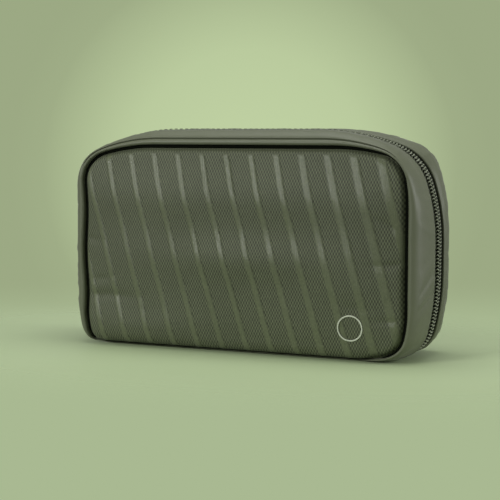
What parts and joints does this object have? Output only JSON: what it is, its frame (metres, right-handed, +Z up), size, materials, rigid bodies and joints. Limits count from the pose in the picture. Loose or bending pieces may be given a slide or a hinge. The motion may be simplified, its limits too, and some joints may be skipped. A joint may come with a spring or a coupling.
{
  "type": "cable organizer pouch",
  "caption": "Soft zipped clamshell pouch with padded ribbed panels, a smooth side gusset, a coil zip with slider and pull, a mesh pocket and elastic cable loops.",
  "frame": {"origin": "middle of the bottom that the pouch stands on, in the plane of the zip", "axes": "+X to the right along the length, -Y out of the front panel, +Z up"},
  "size_m": [0.236, 0.0596, 0.1335],
  "materials": {
    "panel_fabric": "matte honeycomb weave with smooth slanting ribs",
    "gusset_fabric": "smooth plain-weave nylon, low sheen",
    "lining_fabric": "brushed knit, matte",
    "foam": "closed-cell foam, weighed as a light fabric",
    "binding_tape": "grosgrain",
    "zip_tape": "herringbone tape",
    "zip_coil": "nylon coil, satin",
    "zip_metal": "dark enamel, satin",
    "pull_rubber": "matte moulded rubber",
    "elastic": "ribbed elastic webbing",
    "mesh": "open knit mesh",
    "badge": "matte transfer film"
  },
  "bodies": {
    "rear_half": {"rear_panel": "panel_fabric", "rear_foam": "foam", "rear_piping": "gusset_fabric", "rear_gusset": "gusset_fabric", "rear_lining": "lining_fabric", "rear_seam_binding": "binding_tape", "rear_zip_tape": "zip_tape", "rear_zip_coil": "zip_coil", "rear_zip_stops": "zip_metal", "rear_hinge_strip": "gusset_fabric", "upper_cable_loops": "elastic", "lower_cable_loops": "elastic"},
    "front_half": {"front_panel": "panel_fabric", "front_foam": "foam", "front_piping": "gusset_fabric", "front_gusset": "gusset_fabric", "front_lining": "lining_fabric", "front_seam_binding": "binding_tape", "front_zip_tape": "zip_tape", "front_zip_coil": "zip_coil", "front_zip_stops": "zip_metal", "front_hinge_strip": "gusset_fabric", "front_badge": "badge", "mesh_pocket": "mesh", "mesh_pocket_binding": "binding_tape"},
    "zip_slider": {"slider_body": "zip_metal", "slider_bridge": "zip_metal"},
    "zip_pull": {"pull_link": "zip_metal", "pull_grip": "pull_rubber"}
  },
  "joints": [
    {"name": "opening_hinge", "type": "hinge", "parent": "rear_half", "child": "front_half", "pos_m": [0, 0, 0], "axis": [1, 0, 0], "range_deg": [0, 175]},
    {"name": "zip_travel", "type": "slide", "parent": "rear_half", "child": "zip_slider", "axis": [0, 0, 1], "range_m": [0, 0.045]},
    {"name": "pull_swing", "type": "hinge", "parent": "zip_slider", "child": "zip_pull", "pos_m": [-0.11835, 0, 0.0419], "axis": [0, 1, 0], "range_deg": [0, 165]}
  ]
}
